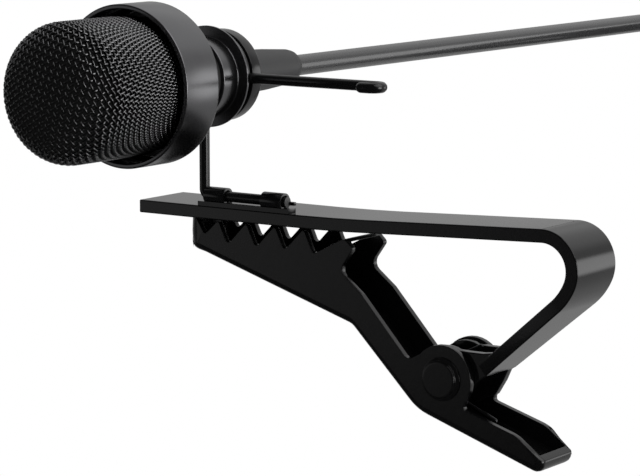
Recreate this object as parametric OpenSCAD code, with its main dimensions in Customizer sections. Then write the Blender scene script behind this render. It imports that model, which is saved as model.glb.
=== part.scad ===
// Lavalier microphone held by a spring wire on a toothed lapel clip.
// Millimetres. The origin is the middle of the tooth row, on the underside of the
// spring strip, where the cloth is gripped. +X runs along the clip to its bend, the
// microphone faces -Y, and +Z points from the teeth up to the microphone.

/* [Spring strip] */
// Width of the flat strip
strip_w = 5.5; // [5.1:0.1:6.5]
// Thickness of the strip's sheet
strip_t = 1; // [0.8:0.05:1.1]
// Length of the strip ahead of the origin
strip_front = 12; // [11:0.5:15]
// Length of the level stretch behind the origin
level_len = 2; // [1.8:0.1:3]
// Slope of the strip behind its level stretch, in degrees
strip_slope = 2.3; // [1:0.1:3]
// Length of the sloping stretch
slope_len = 13.9; // [13:0.1:15]
// Inner radius of the tight bend
bend_r = 1.95; // [1.7:0.05:2.1]
// Turn of the tight bend, in degrees
bend_turn = 117; // [115:1:118]
// Inner radius of the soft curve into the leg
leg_curve_r = 4; // [3.8:0.1:4.3]
// Turn of the soft curve, in degrees
leg_curve_turn = 25; // [24:1:27]
// Length of the straight leg
leg_len = 8.2; // [8:0.1:8.6]
// Width of the leg at its end
leg_end_w = 4.2; // [3.8:0.1:5]
// Thickness of each pivot ear
ear_t = 0.7; // [0.5:0.05:0.8]
// Radius of the ears over the pin
ear_r = 2.35; // [2:0.05:2.45]

/* [Pivot] */
// Radius of the rivet's shaft
pin_r = 0.8; // [0.6:0.05:0.95]
// Radius of the rivet's raised head
head_r = 1.36; // [1.2:0.02:1.5]
// Radius of the foot of the head
head_foot_r = 1.66; // [1.6:0.02:1.9]
// Height of the head over the jaw
head_h = 0.4; // [0.3:0.05:0.6]

/* [Toothed jaw] */
// Outer width of the pressed trough
jaw_w = 4.7; // [4.6:0.05:4.9]
// Wall thickness of the trough
jaw_wall = 0.5; // [0.4:0.05:0.6]
// Outer radius of the pressed bottom edges
jaw_edge_r = 0.6; // [0.3:0.05:0.65]
// Distance between two valleys of the teeth
tooth_pitch = 2.65; // [2.5:0.05:2.7]
// Depth of the teeth
tooth_depth = 1.9; // [1.5:0.1:2]
// Gap between the tooth tips and the strip
bite_gap = 0.05; // [0.02:0.01:0.2]
// Radius of the jaw round the pin
jaw_ear_r = 2.5; // [2.45:0.05:2.6]
// Opening angle of the jaw, in degrees
jaw_open = 45; // [30:1:48]

/* [Wire holder] */
// Radius of the spring wire
wire_r = 0.4; // [0.35:0.01:0.45]
// Height of the hinge run over the strip
hinge_h = 0.8; // [0.75:0.05:0.9]
// Distance of the hinge run from the middle of the strip, towards the front
hinge_y = 2.19; // [2:0.01:2.25]
// Inner radius of the two small bends next to the ring
elbow_r = 0.45; // [0.42:0.01:0.6]
// Distance of the leg from the microphone's axis
leg_offset = 0.76; // [0.6:0.02:0.9]
// Length of the tail, from the ring's centre to its fold
tail_len = 15.1; // [12:0.1:18]
// Length of the part folded back along the tail
fold_len = 0.6; // [0.4:0.1:3]
// Length of each knuckle
knuckle_len = 1.9; // [1.5:0.1:2.2]
// Sheet thickness of the knuckles
knuckle_wall = 0.2; // [0.15:0.01:0.3]
// Length of the bracket plate
plate_len = 8.5; // [8.3:0.05:9]
// Thickness of the bracket plate
plate_t = 0.35; // [0.3:0.01:0.38]

/* [Microphone] */
// Place of the microphone's axis along the clip
mic_x = -5.28; // [-6:0.02:-5]
// Height of the microphone's axis over the strip
mic_h = 9.91; // [9.7:0.01:12]
// Outer radius of the collar
collar_r = 6; // [5.9:0.05:6.3]
// Wall of the collar
collar_wall = 0.35; // [0.3:0.01:0.45]
// Length of the collar
collar_len = 3.95; // [3.8:0.05:4.3]
// Outer radius of the mesh
mesh_r = 5.15; // [5:0.05:5.3]
// Thickness of the mesh
mesh_t = 0.25; // [0.2:0.01:0.3]
// How far the mesh stands out of the collar
mesh_out = 9.2; // [8.5:0.05:9.5]
// Radius of the mesh's shoulder
shoulder_r = 2.5; // [2.2:0.1:2.8]
// Radius of the mesh's crowned front
crown_r = 12; // [10:0.5:14]
// Thickness of the foam behind the mesh
foam_t = 0.8; // [0.5:0.05:1]
// Radius of the capsule
capsule_r = 3; // [2.8:0.05:3.2]
// Length of the capsule
capsule_len = 2.6; // [2.4:0.05:2.8]
// Wall of the capsule's cup
cup_wall = 0.65; // [0.5:0.05:0.7]
// Length of the cone behind the collar
cone_len = 3.55; // [3.3:0.05:3.8]
// Radius of the front of the neck
neck_r = 3.15; // [3:0.01:3.3]
// Radius of the neck at its flange
neck_end_r = 3; // [2.8:0.01:3.1]
// Length of the neck from its seal to its flange
neck_len = 1.95; // [1.7:0.05:2.2]
// Width of the seal between cup and neck
seal_len = 0.7; // [0.5:0.05:0.9]
// Radius of the seal
seal_r = 2.9; // [2.7:0.01:2.95]
// Radius of the thin flange
flange_r = 3.84; // [3.8:0.01:4.2]
// Thickness of the flange
flange_t = 0.25; // [0.2:0.01:0.35]
// Radius of the rear cap
cap_r = 3.5; // [3.4:0.01:3.7]
// Length of the rear cap
cap_len = 1.25; // [1:0.05:1.6]

/* [Cable] */
// Diameter of the cable
cable_d = 1.65; // [1.5:0.01:1.7]
// Radius of the sleeve at the rear cap
sleeve_r = 1.75; // [1.6:0.01:1.85]
// Radius of the sleeve at its end
sleeve_end_r = 1.38; // [1.3:0.01:1.5]
// Length of the sleeve behind the cap
sleeve_len = 8.65; // [8:0.05:10.5]
// Turns of the stored coil, a quarter over a whole number
coil_turns = 18.25; // [14.25:1:20.25]
// Radius of the coil's outermost turn
coil_r = 14.6; // [14.6:0.1:17]
// Gap between two turns of the coil
coil_gap = 0.45; // [0.42:0.01:0.5]
// Thickness of the strap round the coil
tie_t = 0.5; // [0.4:0.05:0.8]
// Width of the strap
tie_w = 3; // [2:0.1:3.4]

/* [Plug] */
// Radius of the plug's contacts
plug_r = 1.75; // [1.7:0.05:1.75]
// Length of the plug's sleeve contact
plug_sleeve_len = 8; // [7:0.1:9]
// Length of the plug's ring contact
plug_ring_len = 1.6; // [1.4:0.1:2]
// Length of the plug's tip contact
plug_tip_len = 3.6; // [3.2:0.1:4]
// Width of each insulating ring
insulator_len = 0.4; // [0.3:0.05:0.6]
// Radius of the plug's handle
handle_r = 3.6; // [3.4:0.1:4.2]
// Length of the plug's handle
handle_len = 15; // [12:0.5:20]
// Length of the boot between handle and cable
boot_len = 9; // [7:0.5:12]

/* [Hidden] */

fine = 96;        // facets of a visible turned surface
small = 32;       // facets of a small round
fit = 0.03;       // radial clearance of a piece that seats in another
run = 0.05;       // radial clearance of a piece that turns in another
side_gap = 0.1;   // clearance between flat faces that slide past each other
eps = 0.01;       // overlap of a cut past the face that it opens

// ---- Paths in the plane of the clip: a point and a heading, turning clockwise ----
function unit(h) = [cos(h), sin(h)];
function left_of(h) = [-sin(h), cos(h)];
function ahead(p, h, l) = p + l * unit(h);
function turned_right(p, h, r, a) = p - r * left_of(h) + r * left_of(h - a);
function arc(c, r, a0, a1, n) = [for (i = [0 : n]) c + r * unit(a0 + (a1 - a0) * i / n)];

rise_r = 200;     // radius of the barely curved stretch where the slope begins
rise_start = [level_len, 0];
rise_end = rise_start + rise_r * [sin(strip_slope), 1 - cos(strip_slope)];
bend_start = ahead(rise_end, strip_slope, slope_len);
bend_end = turned_right(bend_start, strip_slope, bend_r, bend_turn);
bend_h = strip_slope - bend_turn;
leg_start = turned_right(bend_end, bend_h, leg_curve_r, leg_curve_turn);
leg_h = bend_h - leg_curve_turn;
web = ahead(leg_start, leg_h, leg_len);          // inner edge of the leg's cut end
web_out = web + strip_t * left_of(leg_h);
pivot_reach = 3.1;  // pin centre beyond the leg's end
pivot_in = 0.9;     // pin centre inside the leg's inner face
pivot = ahead(web, leg_h, pivot_reach) - pivot_in * left_of(leg_h);

jaw_in = jaw_w / 2 - jaw_wall;
ear_out = jaw_in - side_gap;
hinge_z = strip_t + hinge_h;
mic_z = strip_t + mic_h;

// ---- Stations along the microphone, measured from the collar's front edge ----
seat_s = collar_len - 0.75;          // shoulder on which mesh and collar sit
cone_end_s = collar_len + cone_len;
neck_s = cone_end_s + seal_len;
flange_s = neck_s + neck_len;
groove_s = flange_s + flange_t;
groove_w = 2 * wire_r + 0.1;
wire_s = groove_s + groove_w / 2;
cap_s = groove_s + groove_w;
cap_end_s = cap_s + cap_len;
exit_s = cap_end_s + sleeve_len;
mic_front = -hinge_y - wire_s;       // the wire lies in one plane over the hinge run
ring_r = cap_r - wire_r;             // the wire's back lies flush with the rear cap
groove_r = ring_r - wire_r - run;
cable_r = cable_d / 2;
spigot_r = 1.9;
bore_r = 1.3;
thread_r = 2.2;

// ---- Route of the cable and its coil ----
coil_pitch = cable_d + coil_gap;
coil_layers = 4;
layer_turns = coil_turns / coil_layers;
coil_in_r = coil_r - coil_pitch * layer_turns;
turn_r = 7;                          // bend from the lead towards the coil
coil_x = 9;
coil_y = 74;
coil_z = mic_z - coil_r;
coil_back = coil_y + (coil_layers - 1) * coil_pitch;
plug_x = coil_x + coil_r;
coil_end_z = coil_z - cable_d;

module along_mic() translate([mic_x, mic_front, mic_z]) rotate([-90, 0, 0]) children();
module turned(points, n = fine) rotate_extrude($fn = n) polygon(points);
module tube_s(r_out, r_in, s0, s1, n = fine)
    turned([[r_in, s0], [r_out, s0], [r_out, s1], [r_in, s1]], n);
// Side view drawn in X and Z, as thick as w and centred on the clip's middle plane
module side(w, y = 0) translate([0, y + w / 2, 0]) rotate([90, 0, 0]) linear_extrude(w) children();
module rod(r, l, n = small) cylinder(r = r, h = l, $fn = n);

// ---- Outline with rounded corners: each corner is [x, z, radius] ----
function dir(a, b) = (b - a) / norm(b - a);
function at(c) = [c[0], c[1]];
function round_corner(a, b, c, n) =
    let (u = dir(at(b), at(a)), v = dir(at(b), at(c)), half = acos(u * v) / 2)
    let (mid = (u + v) / norm(u + v), o = at(b) + mid * b[2] / sin(half))
    let (p = at(b) + u * b[2] / tan(half), q = at(b) + v * b[2] / tan(half))
    let (a0 = atan2(p[1] - o[1], p[0] - o[0]), a1 = atan2(q[1] - o[1], q[0] - o[0]))
    let (sweep = (a1 - a0 > 180) ? a1 - a0 - 360 : (a1 - a0 < -180) ? a1 - a0 + 360 : a1 - a0)
    arc(o, b[2], a0, a0 + sweep, n);
function rounded(cs, n) =
    [for (i = [0 : len(cs) - 1])
        each (len(cs[i]) < 3 || cs[i][2] == 0) ? [at(cs[i])]
            : round_corner(cs[(i + len(cs) - 1) % len(cs)], cs[i], cs[(i + 1) % len(cs)], n)];

// ---- Tube swept along a list of points, with frames carried along without twist ----
function norm3(v) = v / norm(v);
function tangent(p, i) = norm3(p[min(i + 1, len(p) - 1)] - p[max(i - 1, 0)]);
function carried(f, t) = norm3(f - (f * t) * t);
function frames(p, f0) =
    [for (i = 0, f = carried(f0, tangent(p, 0)); i < len(p);
        i = i + 1, f = i < len(p) ? carried(f, tangent(p, i)) : f) f];
module swept(p, r, sides, f0) {
    f = frames(p, f0);
    ring = [for (i = [0 : len(p) - 1])
        let (g = cross(tangent(p, i), f[i]))
        for (k = [0 : sides - 1]) p[i] + r * (cos(360 * k / sides) * f[i] + sin(360 * k / sides) * g)];
    n = len(p);
    polyhedron(ring, concat(
        [[for (k = [sides - 1 : -1 : 0]) k]],
        [[for (k = [0 : sides - 1]) (n - 1) * sides + k]],
        [for (i = [0 : n - 2]) for (k = [0 : sides - 1]) let (a = i * sides, m = (k + 1) % sides)
            each [[a + k, a + m, a + sides + m], [a + k, a + sides + m, a + sides + k]]]), convexity = 10);
}

// ================================ Clip ================================

// The strip's inner face as points, each with its heading: [x, z, heading]
function stretch(p, h, r, a, n) = [for (i = [0 : n]) let (t = a * i / n)
    concat(turned_right(p, h, r, t), h - t)];
strip_path = concat(
    [[-strip_front, 0, 0]],
    stretch(rise_start, 0, -rise_r, -strip_slope, 6),
    stretch(bend_start, strip_slope, bend_r, bend_turn, 30),
    stretch(bend_end, bend_h, leg_curve_r, leg_curve_turn, 8),
    [concat(web, leg_h)]);
strip_outline = concat(
    [for (s = strip_path) at(s)],
    [for (i = [len(strip_path) - 1 : -1 : 0]) at(strip_path[i]) + strip_t * left_of(strip_path[i][2])]);
// What the leg loses on each side as it narrows towards the ears
module leg_trim()
    translate([leg_start[0], 0, leg_start[1]]) rotate([0, -leg_h, 0]) translate([0, 0, -strip_t])
        for (m = [0, 1]) mirror([0, m, 0]) linear_extrude(3 * strip_t)
            polygon([[0, strip_w / 2], [leg_len, leg_end_w / 2], [leg_len + 1, leg_end_w / 2],
                [leg_len + 1, strip_w], [0, strip_w]]);
ear_top = ear_r * 0.98;
// The lower corner of an ear lies on the points low, measured from the pin
ear_from = 65;     // the ear is round about the pin between these headings
ear_to = 310;
module ear_outline(low)
    polygon(concat(
        [ahead(web, leg_h, -2.6), ahead(web, leg_h, -1.5) + 0.02 * left_of(leg_h)],
        [pivot + [3.1, ear_top - 0.18], pivot + [1.9, ear_top - 0.19]],
        arc(pivot, ear_r, ear_from, ear_to, 28),
        [for (c = low) pivot + c],
        [web_out, ahead(web_out, leg_h, -1.2) - 0.3 * strip_t * left_of(leg_h)]));
module spring_strip() color([0.05, 0.05, 0.055]) difference() {
    union() {
        difference() {
            side(strip_w) polygon(strip_outline);
            leg_trim();
        }
        side(ear_t, ear_t / 2 - ear_out) ear_outline([[1.9, -1], [2.6, -0.05]]);
        side(ear_t, ear_out - ear_t / 2) ear_outline([[2.5, -1.45], [3.2, -0.3]]);
    }
    translate([pivot[0], jaw_w, pivot[1]]) rotate([90, 0, 0]) rod(pin_r + eps, 2 * jaw_w, fine);
}

// Lower jaw: the side outline of the trough, clockwise from its nose
last_valley = 4.14;
tooth_count = 4;
nose_x = last_valley - tooth_count * tooth_pitch - 0.74;
tip_lead = 0.85;   // a tip stands this far ahead of its valley
valleys = [for (k = [tooth_count - 1 : -1 : 0]) last_valley - k * tooth_pitch];
first_valley = valleys[0] - 2.2;
teeth = concat(
    [[nose_x, -bite_gap, 0.3], [first_valley - 0.6, -bite_gap, 0.2], [first_valley, -0.7 * tooth_depth, 0.25]],
    [for (v = valleys) each [[v - tip_lead, -bite_gap, 0.18], [v, -tooth_depth, 0.3]]]);
// The hump behind the teeth, and the back of the jaw down to the ear
hump = [[6.95, -0.45, 0.45], [7.75, -1.2, 0.3], [6.5, -2.95, 0.7], [8.5, -4.5, 0.9]];
ear_foot = pivot + [-2.95, 1.1];
tab_root = pivot + [1.8, -2.05];
tab_top = pivot + [6.35, -3.42];
tab_end = pivot + [8.5, -5.02];
lip_t = 0.42;      // the lip that closes the tab's end
floor_mid = [7.45, -6.9];
floor_heel = pivot + [-2.3, -2.6];
floor_end = pivot + [8.45, -6.17];
floor_tip = floor_end + 1.2 * dir(floor_end, floor_heel);   // from here on the bottom edges are round
nose_floor = -2.38;
jaw_top = concat(
    rounded(concat([[nose_x, nose_floor, 0]], teeth, hump, [[ear_foot[0], ear_foot[1], 0.5]],
        [concat(pivot + jaw_ear_r * unit(139), 0)]), 4));
tail_steps = 5;
lip_r = 0.12;      // small rounding of the lip at the end of the tab
jaw_tail = rounded([concat(pivot + jaw_ear_r * unit(-28), 0), concat(tab_root, 0.25),
    concat(tab_top, 3), concat(tab_end, lip_r), concat(floor_end, 0.7), concat(floor_tip, 0), concat(floor_heel, 4),
    concat(floor_mid, 1.2), [nose_x, nose_floor, 0.75], [nose_x, -bite_gap - 0.5, 0]], tail_steps);
function cut_ends(p, a, b) = [for (i = [a : len(p) - 1 - b]) p[i]];
jaw_upper = concat(cut_ends(jaw_top, 1, 1), arc(pivot, jaw_ear_r, 139, -28, 16));
jaw_lower = cut_ends(jaw_tail, 1, 1);
jaw_side = concat(jaw_upper, jaw_lower);
// Past tab_root and tab_top, the first two corners of jaw_lower, the pressed edges are round.
// The lip's own corner is smaller than that rounding, so it draws back level.
lip_from = len(jaw_upper) + 2 * (tail_steps + 1);
soft_from = lip_from + tail_steps + 1;
function inset(p, e) = [for (i = [0 : len(p) - 1])
    let (a = p[(i + len(p) - 1) % len(p)], b = p[(i + 1) % len(p)], t = dir(a, b))
    i < lip_from ? p[i] : i < soft_from ? p[i] - [e, 0] : p[i] + e * [t[1], -t[0]]];
edge_steps = concat(
    [for (a = [0 : 15 : 90]) [jaw_w / 2 - eps - jaw_edge_r * (1 - sin(a)), jaw_edge_r * (1 - cos(a))]],
    [[jaw_w, jaw_edge_r]]);
jaw_rings = concat([for (i = [len(edge_steps) - 1 : -1 : 0]) [-edge_steps[i][0], edge_steps[i][1]]], edge_steps);
module jaw_blank() {
    m = len(jaw_side);
    n = len(jaw_rings);
    pts = [for (g = jaw_rings) for (p = inset(jaw_side, g[1])) [p[0], g[0], p[1]]];
    polyhedron(pts, concat(
        [[for (k = [m - 1 : -1 : 0]) k]],
        [[for (k = [0 : m - 1]) (n - 1) * m + k]],
        [for (i = [0 : n - 2]) for (k = [0 : m - 1]) let (a = i * m, q = (k + 1) % m)
            each [[a + k, a + q, a + m + q], [a + k, a + m + q, a + m + k]]]), convexity = 10);
}
module jaw_hollow()
    side(2 * jaw_in) polygon(concat(
        rounded([[nose_x + jaw_wall, 3, 0], [nose_x + jaw_wall, nose_floor + 0.4, 0.3],
            concat(floor_mid + [0.2, 0.52], 0.9), concat(floor_heel + [0.16, 0.54], 3.6),
            concat(floor_end + [-lip_t, 0.55 + lip_t / 3], 0.3), concat(floor_end + [-lip_t, 10], 0)], 5),
        [pivot + [4, 6]]));
module toothed_jaw() color([0.04, 0.04, 0.045]) difference() {
    intersection() {
        jaw_blank();
        translate([nose_x - 1, -jaw_w / 2, floor_end[1] - 2]) cube([floor_end[0] - nose_x + 4, jaw_w, -floor_end[1] + 4]);
    }
    jaw_hollow();
    translate([pivot[0], jaw_w, pivot[1]]) rotate([90, 0, 0]) rod(pin_r + run, 2 * jaw_w, fine);
}

module pivot_pin() color([0.06, 0.06, 0.065])
    translate([pivot[0], 0, pivot[1]]) rotate([90, 0, 0]) {
        translate([0, 0, -jaw_w / 2 - side_gap / 2]) rod(pin_r, jaw_w + side_gap, fine);
        for (m = [0, 1]) mirror([0, 0, m]) translate([0, 0, jaw_w / 2 + side_gap / 2])
            turned([[0, 0], [head_foot_r, 0], [head_foot_r - 0.12, 0.08], [head_r + 0.04, 0.14],
                [head_r, 0.2], [head_r, head_h - 0.1], [head_r - 0.1, head_h], [0, head_h]]);
    }

// Torsion spring between the ears, with one leg under the strip and one on the tab
spring_wire_r = 0.2;
spring_r = pin_r + 0.25 + spring_wire_r;
spring_w = 2 * (ear_out - ear_t - side_gap);
strip_leg_h = leg_h + 180;
tab_h = atan2(floor_end[1] - floor_heel[1], floor_end[0] - floor_heel[0]);
module spring_leg(a, y, l)
    translate([pivot[0], y, pivot[1]]) rotate([0, -a, 0])
        translate([0, 0, -spring_r]) rotate([0, 90, 0]) rod(0.85 * spring_wire_r, l);
module torsion_spring() color([0.5, 0.5, 0.52]) {
    translate([pivot[0], spring_w / 2, pivot[1]]) rotate([90, 0, 0])
        tube_s(spring_r + spring_wire_r, spring_r - spring_wire_r, 0, spring_w);
    spring_leg(strip_leg_h - 15, spring_w / 2 - 1.5 * spring_wire_r, 2.6);
    spring_leg(tab_h - 12, 1.5 * spring_wire_r - spring_w / 2, 5.4);
}

// ================================ Wire holder ================================

knuckle_r = wire_r + run + knuckle_wall;
leg_x = mic_x - leg_offset;
knuckle_x0 = leg_x + elbow_r + 0.05 - 0.2;
knuckle_span = 7.23;   // over both knuckles
knuckle_x1 = knuckle_x0 + knuckle_span - knuckle_len;
plate_y = -strip_w / 2;
plate_d = 0.95;
plate_deep = 1.5;      // the plate reaches further across under the knuckles
lug = [0.43 - hinge_y, hinge_z - 0.3];   // Y and Z of the small lug on the rear knuckle
lug_len = 0.5;
plate_lead = 0.26;     // the plate starts this far ahead of the wire's leg
hinge_end = knuckle_x1 + knuckle_len + 0.25;
module wire_bracket() color([0.04, 0.04, 0.045]) difference() {
    union() {
        translate([leg_x - plate_lead, plate_y, strip_t]) cube([plate_len, plate_d, plate_t]);
        translate([leg_x - plate_lead, plate_y, strip_t]) cube([knuckle_span + 0.1, plate_deep, plate_t]);
        translate([knuckle_x1 + knuckle_len - 0.3, lug[0], lug[1]]) cube([0.3 + lug_len, 0.3, 0.25]);
        for (x = [knuckle_x0, knuckle_x1])
            translate([x, -hinge_y, hinge_z]) rotate([0, 90, 0]) rod(knuckle_r, knuckle_len, fine);
        for (x = [knuckle_x0, knuckle_x1])
            translate([x, -hinge_y - 0.3, strip_t]) cube([knuckle_len, 0.6, hinge_h - wire_r]);
    }
    translate([leg_x - 1, -hinge_y, hinge_z]) rotate([0, 90, 0]) rod(wire_r + run, plate_len + 3, fine);
}

// Stretches of the wire overlap by lap, so that they make one piece
lap = 0.15;
function lap_angle(r) = lap / r * 180 / PI;
// One bend in the plane of the ring: centre, radius, first and last angle
module wire_bend(c, r, a0, a1)
    translate([c[0], -hinge_y, c[1]]) rotate([90, 0, 0]) rotate(a0 - lap_angle(r))
        rotate_extrude(angle = a1 - a0 + 2 * lap_angle(r), $fn = fine)
            translate([r, 0]) circle(r = wire_r, $fn = small);
module wire_run(p, a, l) translate([p[0], -hinge_y, p[1]]) rotate([0, 90 - a, 0]) rod(wire_r, l);
mic_c = [mic_x, mic_z];
reach = ring_r + elbow_r;
leg_bend = mic_c + [-leg_offset - elbow_r, -sqrt(reach * reach - pow(leg_offset + elbow_r, 2))];
ring_start = atan2(leg_bend[1] - mic_z, leg_bend[0] - mic_x);
tail_bend = mic_c + [sqrt(reach * reach - elbow_r * elbow_r), elbow_r];
ring_stop = atan2(elbow_r, tail_bend[0] - mic_x);
foot_bend = [leg_x + elbow_r, hinge_z + elbow_r];
fold_x = mic_x + tail_len;
fold_r = wire_r + 0.25;
module wire_holder() color([0.03, 0.03, 0.03]) {
    wire_run([foot_bend[0], hinge_z], 0, hinge_end - foot_bend[0]);
    wire_bend(foot_bend, elbow_r, 180, 270);
    wire_run([leg_x, foot_bend[1]], 90, leg_bend[1] - foot_bend[1]);
    wire_bend(leg_bend, elbow_r, 0, ring_start + 180);
    wire_bend(mic_c, ring_r, ring_stop, 360 + ring_start);
    wire_bend(tail_bend, elbow_r, ring_stop + 180, 270);
    wire_run([tail_bend[0], mic_z], 0, fold_x - tail_bend[0]);
    translate([fold_x, -hinge_y - fold_r, mic_z]) rotate(-90 - lap_angle(fold_r))
        rotate_extrude(angle = 180 + 2 * lap_angle(fold_r), $fn = fine)
            translate([fold_r, 0]) circle(r = wire_r, $fn = small);
    translate([fold_x - fold_len, -hinge_y - 2 * fold_r, mic_z]) {
        rotate([0, 90, 0]) rod(wire_r, fold_len);
        sphere(r = wire_r, $fn = small);
    }
}

// ================================ Microphone head ================================

// Half section of the mesh's form, drawn in by t all round
function dome(t, foot) =
    let (c = shoulder_r - t, cy = -mesh_out + crown_r)
    let (x = mesh_r - shoulder_r, d = crown_r - shoulder_r)
    let (sy = cy - sqrt(d * d - x * x), a = atan2(sy - cy, x))
    concat([[mesh_r - t, foot]], arc([x, sy], c, 0, a, 12),
        [for (i = [1 : 8]) [0, cy] + (crown_r - t) * unit(a + (-90 - a) * i / 8)]);
function shell(t0, t1, foot) = concat(dome(t0, foot), [for (i = [20 : -1 : 0]) dome(t1, foot)[i]]);
foam_t0 = mesh_t + 0.02;
module grille_dome() color([0.1, 0.1, 0.1])
    along_mic() turned(shell(0, mesh_t, seat_s - eps));
module foam_liner() color([0.08, 0.08, 0.08])
    along_mic() turned(shell(foam_t0, foam_t0 + foam_t, spigot_s - eps));
spigot_len = 1.6;   // part of the housing that carries the mesh
spigot_s = seat_s - spigot_len;
spigot_front_r = mesh_r - mesh_t - fit;
cup_r = spigot_front_r - cup_wall;
module collar_ring() color([0.16, 0.16, 0.17]) along_mic() turned([
    [collar_r - 0.06, 0], [collar_r, 0.06], [collar_r, collar_len - 0.25],
    [collar_r - 0.25, collar_len], [collar_r - 0.6, collar_len], [collar_r - 0.6, seat_s + 0.05],
    [collar_r - collar_wall, seat_s - 0.2], [collar_r - collar_wall, 0.05],
    [collar_r - collar_wall + 0.05, 0]]);
housing_r = collar_r - 0.6 - fit;
cup_floor_s = collar_len + 1.1;
thread_len = 1.3;   // length of the housing's thread inside the neck
module capsule_housing() color([0.12, 0.12, 0.125]) along_mic() turned([
    [cup_r, spigot_s], [spigot_front_r, spigot_s], [spigot_front_r, seat_s], [housing_r, seat_s],
    [housing_r, collar_len + 0.1], [neck_r, cone_end_s], [thread_r, cone_end_s],
    [thread_r, neck_s + thread_len], [bore_r, neck_s + thread_len], [bore_r, cone_end_s - 1.2],
    [cup_r - 1.2, cup_floor_s], [cup_r, cup_floor_s]]);
capsule_s = spigot_s + 0.2;
module capsule() color([0.75, 0.75, 0.72]) along_mic() turned([
    [0, capsule_s], [capsule_r - 0.15, capsule_s], [capsule_r, capsule_s + 0.15],
    [capsule_r, capsule_s + capsule_len], [0, capsule_s + capsule_len]]);
module capsule_gasket() color([0.1, 0.1, 0.1]) along_mic() tube_s(cup_r - eps, capsule_r + eps,
    capsule_s + 0.1, capsule_s + capsule_len - 0.2);
board_s = capsule_s + capsule_len + 0.02;
board_t = 0.5;
module circuit_board() color([0.1, 0.35, 0.15]) along_mic() translate([0, 0, board_s]) rod(2.6, board_t, fine);
module neck_seal() color([0.02, 0.02, 0.02]) along_mic() tube_s(seal_r, thread_r + eps, cone_end_s + eps, neck_s - eps);
module neck_barrel() color([0.16, 0.16, 0.17]) along_mic() turned([
    [thread_r + fit, neck_s], [neck_r - 0.06, neck_s], [neck_r, neck_s + 0.08],
    [neck_end_r, flange_s], [flange_r, flange_s],
    [flange_r, groove_s - 0.08], [flange_r - 0.08, groove_s], [groove_r, groove_s],
    [groove_r, cap_s], [spigot_r, cap_s], [spigot_r, cap_end_s - 0.4], [bore_r, cap_end_s - 0.4],
    [bore_r, neck_s + thread_len + side_gap], [thread_r + fit, neck_s + thread_len + side_gap]]);
relief_lip_s = cap_end_s - 0.38;
module rear_cap() color([0.16, 0.16, 0.17]) along_mic() turned([
    [spigot_r + fit, cap_s + eps], [cap_r - 0.05, cap_s + eps], [cap_r, cap_s + 0.06],
    [cap_r, cap_end_s - 0.2], [cap_r - 0.2, cap_end_s], [sleeve_r + fit, cap_end_s],
    [sleeve_r + fit, cap_end_s - 0.2], [spigot_r + fit, cap_end_s - 0.2]]);
cable_fit = 0.04;
module strain_relief() color([0.1, 0.1, 0.1]) along_mic() turned([
    [cable_r + cable_fit, relief_lip_s], [spigot_r, relief_lip_s], [spigot_r, cap_end_s - 0.22],
    [sleeve_r, cap_end_s - 0.22], [sleeve_r, cap_end_s + 0.6],
    [(sleeve_r + sleeve_end_r) / 2 + 0.03, cap_end_s + sleeve_len * 0.55],
    [sleeve_end_r, exit_s - 0.9], [sleeve_end_r - 0.1, exit_s - 0.45],
    [sleeve_end_r - 0.28, exit_s - 0.12], [cable_r + cable_fit, exit_s]]);
ferrule_s = cap_s - 0.9;
module crimp_ferrule() color([0.72, 0.6, 0.35])
    along_mic() tube_s(bore_r - 0.06, cable_r + eps, ferrule_s, ferrule_s + 1.5, small);
module cable_inner() color([0.12, 0.12, 0.12])
    along_mic() translate([0, 0, ferrule_s - 0.2]) rod(cable_r, exit_s - ferrule_s + 0.2, small);
core_r = 0.2;
module inner_wires() color([0.7, 0.15, 0.1]) along_mic() for (x = [-0.35, 0.35])
    translate([x, 0, board_s + board_t]) rod(core_r, ferrule_s - 0.2 - board_s - board_t, small);

// ================================ Cable ================================

// The lead: straight out of the sleeve, then round towards the coil
lead_y0 = mic_front + exit_s;
lead_route = concat(
    [for (i = [0 : 12]) [mic_x, lead_y0 + (coil_y - turn_r - lead_y0) * i / 12, mic_z]],
    [for (a = [15 : 15 : 90]) [mic_x + turn_r * (1 - cos(a)), coil_y - turn_r + turn_r * sin(a), mic_z]],
    [for (x = [coil_x - cable_d - 3, coil_x - cable_d]) [x, coil_y, mic_z]]);
module cable_lead() color([0.13, 0.13, 0.13]) swept(lead_route, cable_r, 8, [0, 0, 1]);

// The coil spirals in and out again, and climbs a layer in the half turn at each reversal
function smooth(x) = let (c = min(max(x, 0), 1)) c * c * (3 - 2 * c);
function layer_r(t) =
    let (l = min(floor(t / layer_turns), coil_layers - 1), f = t - l * layer_turns)
    l % 2 == 0 ? coil_r - coil_pitch * f : coil_in_r + coil_pitch * f;
function layer_y(t) = coil_y + coil_pitch
    * [for (k = [1 : coil_layers - 1]) smooth((t - k * layer_turns) / 0.5 + 0.5)] * [1, 1, 1];
function coil_point(t) =
    let (a = 90 - 360 * t, r = layer_r(t)) [coil_x + r * cos(a), layer_y(t), coil_z + r * sin(a)];
rings = 24;
coil_steps = round(coil_turns * rings);
coil_route = concat(
    [[coil_x - cable_d, coil_y, mic_z]],
    [for (i = [0 : coil_steps]) coil_point(i * coil_turns / coil_steps)],
    [[plug_x, coil_back, coil_end_z]]);
function least_gap(p, skip) = min([for (i = [0 : len(p) - 1 - skip])
    min([for (j = [i + skip : len(p) - 1]) norm(p[i] - p[j])])]) - cable_d;
module cable_coil() color([0.13, 0.13, 0.13]) {
    swept(coil_route, cable_r, 6, [0, 1, 0]);
    echo(least_gap_of_coil_to_itself = least_gap(coil_route, rings / 2));
}
tie_in = 0.15;
tie_top = coil_z - coil_in_r + cable_r + 0.35;
tie_low = coil_z - coil_r - cable_r - tie_in;
module tie_section(g)
    translate([coil_y - cable_r - tie_in - g, tie_low - g])
        square([coil_back - coil_y + cable_d + 2 * (tie_in + g), tie_top - tie_low + 2 * g]);
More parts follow.
